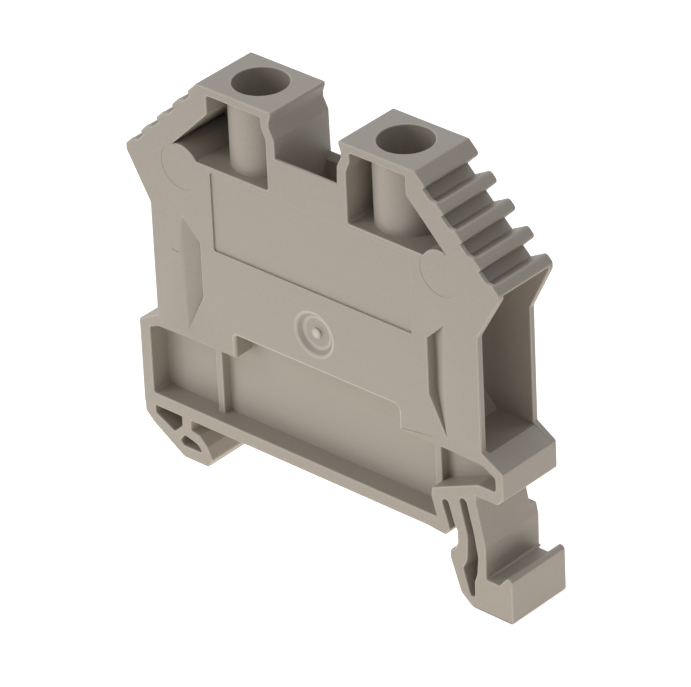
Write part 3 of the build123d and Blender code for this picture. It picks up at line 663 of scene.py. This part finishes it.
def cut_slot(mesh, middle_y, top, sizes):
    """Cut the driver slot across a screw's head."""
    half = sizes.slot_width / 2
    floor = top - sizes.slot_depth
    for place, normal in (((0, middle_y - half, 0), (0, 1, 0)),
                          ((0, middle_y + half, 0), (0, 1, 0)),
                          ((0, 0, floor), (0, 0, 1))):
        bmesh.ops.bisect_plane(mesh, geom=mesh.verts[:] + mesh.edges[:] + mesh.faces[:],
                               dist=1e-8, plane_co=place, plane_no=normal)
    middles = [(face, face.calc_center_median()) for face in mesh.faces]
    inside = [face for face, middle in middles
              if abs(middle.y - middle_y) < half and middle.z > floor]
    bmesh.ops.delete(mesh, geom=inside, context="FACES")
    rim = [edge for edge in mesh.edges if edge.is_boundary]
    for side in (-half, half):
        wall = [edge for edge in rim
                if all(abs(vert.co.y - middle_y - side) < TOUCHING for vert in edge.verts)]
        low_ends = sorted({vert for edge in wall for vert in edge.verts
                           if abs(vert.co.z - floor) < TOUCHING}, key=lambda vert: vert.co.x)
        wall.append(mesh.edges.new((low_ends[0], low_ends[-1])))
        bmesh.ops.contextual_create(mesh, geom=wall)
    rim = [edge for edge in mesh.edges if edge.is_boundary]
    bmesh.ops.contextual_create(mesh, geom=rim)


def clamping_screw(low, high, sizes):
    """Slotted cheese-head screw between the lowest and the highest corner of its box."""
    axis = ((low.x + high.x) / 2, (low.y + high.y) / 2)
    head_low = high.z - sizes.head_height
    chamfer = sizes.edge_radius
    thread = threaded(low.z + sizes.point_length, head_low + THREAD_OVERLAP, axis, sizes)
    shank = turned([
        (0, low.z),
        (sizes.point_radius - chamfer, low.z),
        (sizes.point_radius, low.z + chamfer),
        (sizes.point_radius, head_low + SHANK_OVERLAP),
        (0, head_low + SHANK_OVERLAP),
    ], axis, sizes.steps)
    head = turned([
        (0, head_low),
        (sizes.head_radius - chamfer / 2, head_low),
        (sizes.head_radius, head_low + chamfer / 2),
        (sizes.head_radius, high.z - chamfer),
        (sizes.head_radius - chamfer / 3, high.z - chamfer / 3),
        (sizes.head_radius - chamfer, high.z),
        (0, high.z),
    ], axis, sizes.steps)
    cut_slot(head, axis[1], high.z, sizes)
    whole = bmesh.new()
    for part in (thread, shank, head):
        bmesh.ops.recalc_face_normals(part, faces=part.faces)
        piece = bpy.data.meshes.new("screw_part")
        part.to_mesh(piece)
        part.free()
        whole.from_mesh(piece)
        bpy.data.meshes.remove(piece)
    return whole


class TERMINALBLOCK_OT_clamp_screws(bpy.types.Operator):
    """Make the two slotted clamping screws with their thread."""

    bl_idname = "terminal_block.clamp_screws"
    bl_label = "Clamping screws"

    def execute(self, context):
        for side in SIDES:
            low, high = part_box(side + "_clamp_screw")
            mesh = clamping_screw(low, high, settings("screw"))
            show(side + "_screw", mesh, shared_zinc(), side + "_screw", "screw",
                 side + "_clamp_screw")
        return {"FINISHED"}


def light_and_show(tree, output, lighting, shown):
    """Light the block with one shader and show the camera another.

    What the camera sees in a gloss or through glass is shown too.
    """
    rays = add_node(tree, "ShaderNodeLightPath").outputs
    seen = rays["Is Camera Ray"]
    for kind in ("Is Glossy Ray", "Is Transmission Ray"):
        either = add_node(tree, "ShaderNodeMath", {"operation": "MAXIMUM"})
        tree.links.new(seen, either.inputs[0])
        tree.links.new(rays[kind], either.inputs[1])
        seen = either.outputs["Value"]
    mix = add_node(tree, "ShaderNodeMixShader")
    for number, source in enumerate((seen, lighting, shown)):
        tree.links.new(source, mix.inputs[number])
    tree.links.new(mix.outputs["Shader"], output.inputs["Surface"])


def studio_paper(tint):
    """White studio paper, uncoated and rolled out flat."""
    # It scatters light evenly, so the eye sees no gloss and a soft shadow. The camera sees it
    # lifted to white, which the block's own light doesn't get.
    material, tree, output = new_material("pale_studio_paper")
    paper = add_node(tree, "ShaderNodeBsdfDiffuse", {"Color": tint})
    white = add_node(tree, "ShaderNodeEmission",
                     {"Color": linear("#FFFFFF"), "Strength": FLOOR_GLOW})
    lit = add_node(tree, "ShaderNodeAddShader")
    tree.links.new(paper.outputs["BSDF"], lit.inputs[0])
    tree.links.new(white.outputs["Emission"], lit.inputs[1])
    light_and_show(tree, output, paper.outputs["BSDF"], lit.outputs["Shader"])
    return material


class TERMINALBLOCK_OT_stage(bpy.types.Operator):
    """Make the floor, the lights and the camera."""

    bl_idname = "terminal_block.stage"
    bl_label = "Stage"

    def execute(self, context):
        sizes = settings("stage")
        aim = Vector(sizes.aim)
        self.floor(context, sizes)
        self.world(context)
        self.camera(context, aim, sizes)
        for name, direction, distance, size, power, tint in SOFTBOXES:
            direction = Vector(direction).normalized()
            self.area_light(context, name, aim + direction * distance, -direction, size, power,
                            tint)
        place, size, power, tint = TABLE_SHEET
        self.area_light(context, "table_sheet", Vector(place) + Vector((0, 0, GROUND_Z)),
                        Vector((0, 0, 1)), size, power, tint)
        return {"FINISHED"}

    def floor(self, context, sizes):
        """Pale floor that keeps the block's shadow and stays white for the camera."""
        mesh = bmesh.new()
        bmesh.ops.create_grid(mesh, x_segments=1, y_segments=1, size=FLOOR_HALF)
        bmesh.ops.translate(mesh, verts=mesh.verts, vec=(0, 0, GROUND_Z - FLOOR_GAP))
        data = bpy.data.meshes.new("studio_floor")
        mesh.to_mesh(data)
        mesh.free()
        data.materials.append(studio_paper(sizes.floor))
        floor = bpy.data.objects.new("studio_floor", data)
        context.scene.collection.objects.link(floor)

    def world(self, context):
        """Even light from all round, with white behind the block."""
        world = bpy.data.worlds.new("studio")
        context.scene.world = world
        world.use_nodes = True
        tree = world.node_tree
        tree.nodes.clear()
        output = add_node(tree, "ShaderNodeOutputWorld")
        around, behind = (
            add_node(tree, "ShaderNodeBackground",
                     {"Color": linear("#FFFFFF"), "Strength": strength}).outputs["Background"]
            for strength in (WORLD_STRENGTH, 1.0))
        light_and_show(tree, output, around, behind)

    def camera(self, context, aim, sizes):
        """Camera at the photograph's angle."""
        data = bpy.data.cameras.new("camera")
        data.lens = sizes.lens
        data.sensor_width = SENSOR_WIDTH
        data.clip_start, data.clip_end = CLIP
        toward = Vector((math.cos(sizes.elevation) * math.sin(sizes.azimuth),
                         -math.cos(sizes.elevation) * math.cos(sizes.azimuth),
                         math.sin(sizes.elevation)))
        turn = (-toward).to_track_quat("-Z", "Y").to_matrix().to_4x4()
        turn = turn @ Matrix.Rotation(sizes.roll, 4, "Z")
        camera = bpy.data.objects.new("camera", data)
        camera.matrix_world = Matrix.Translation(aim + toward * sizes.distance) @ turn
        context.scene.collection.objects.link(camera)
        context.scene.camera = camera
        context.scene.view_settings.view_transform = "Standard"

    def area_light(self, context, name, place, facing, size, power, tint):
        """Square area light."""
        data = bpy.data.lights.new(name, "AREA")
        data.shape = "SQUARE"
        data.size = size
        data.energy = power
        data.color = linear(tint)[:3]
        turn = facing.to_track_quat("-Z", "Y").to_matrix().to_4x4()
        light = bpy.data.objects.new(name, data)
        light.matrix_world = Matrix.Translation(place) @ turn
        context.scene.collection.objects.link(light)


OPERATORS = (
    TERMINALBLOCK_OT_housing,
    TERMINALBLOCK_OT_current_bar,
    TERMINALBLOCK_OT_clamp_yokes,
    TERMINALBLOCK_OT_clamp_screws,
    TERMINALBLOCK_OT_stage,
)
GROUPS = {
    "housing": HousingSettings,
    "bar": BarSettings,
    "yoke": YokeSettings,
    "screw": ScrewSettings,
    "stage": StageSettings,
}


class TERMINALBLOCK_PT_panel(bpy.types.Panel):
    """Sidebar panel with every piece's operator and settings."""

    bl_label = "Terminal block"
    bl_idname = "TERMINALBLOCK_PT_panel"
    bl_space_type = "VIEW_3D"
    bl_region_type = "UI"
    bl_category = "Terminal block"

    def draw(self, context):
        for operator in OPERATORS:
            self.layout.operator(operator.bl_idname)
        for name, group in GROUPS.items():
            box = self.layout.box()
            box.label(text=name.capitalize())
            for setting in group.__annotations__:
                box.prop(settings(name), setting)


def register():
    """Register the settings, the operators and the panel."""
    for name, group in GROUPS.items():
        bpy.utils.register_class(group)
        setattr(bpy.types.Scene, "terminal_block_" + name, PointerProperty(type=group))
    for operator in OPERATORS:
        bpy.utils.register_class(operator)
    bpy.utils.register_class(TERMINALBLOCK_PT_panel)


def unregister():
    """Take everything out again."""
    bpy.utils.unregister_class(TERMINALBLOCK_PT_panel)
    for operator in reversed(OPERATORS):
        bpy.utils.unregister_class(operator)
    for name, group in reversed(GROUPS.items()):
        delattr(bpy.types.Scene, "terminal_block_" + name)
        bpy.utils.unregister_class(group)


def main():
    """Make every piece and the stage."""
    register()
    for operator in OPERATORS:
        group, name = operator.bl_idname.split(".")
        getattr(getattr(bpy.ops, group), name)()


if __name__ == "__main__":
    main()
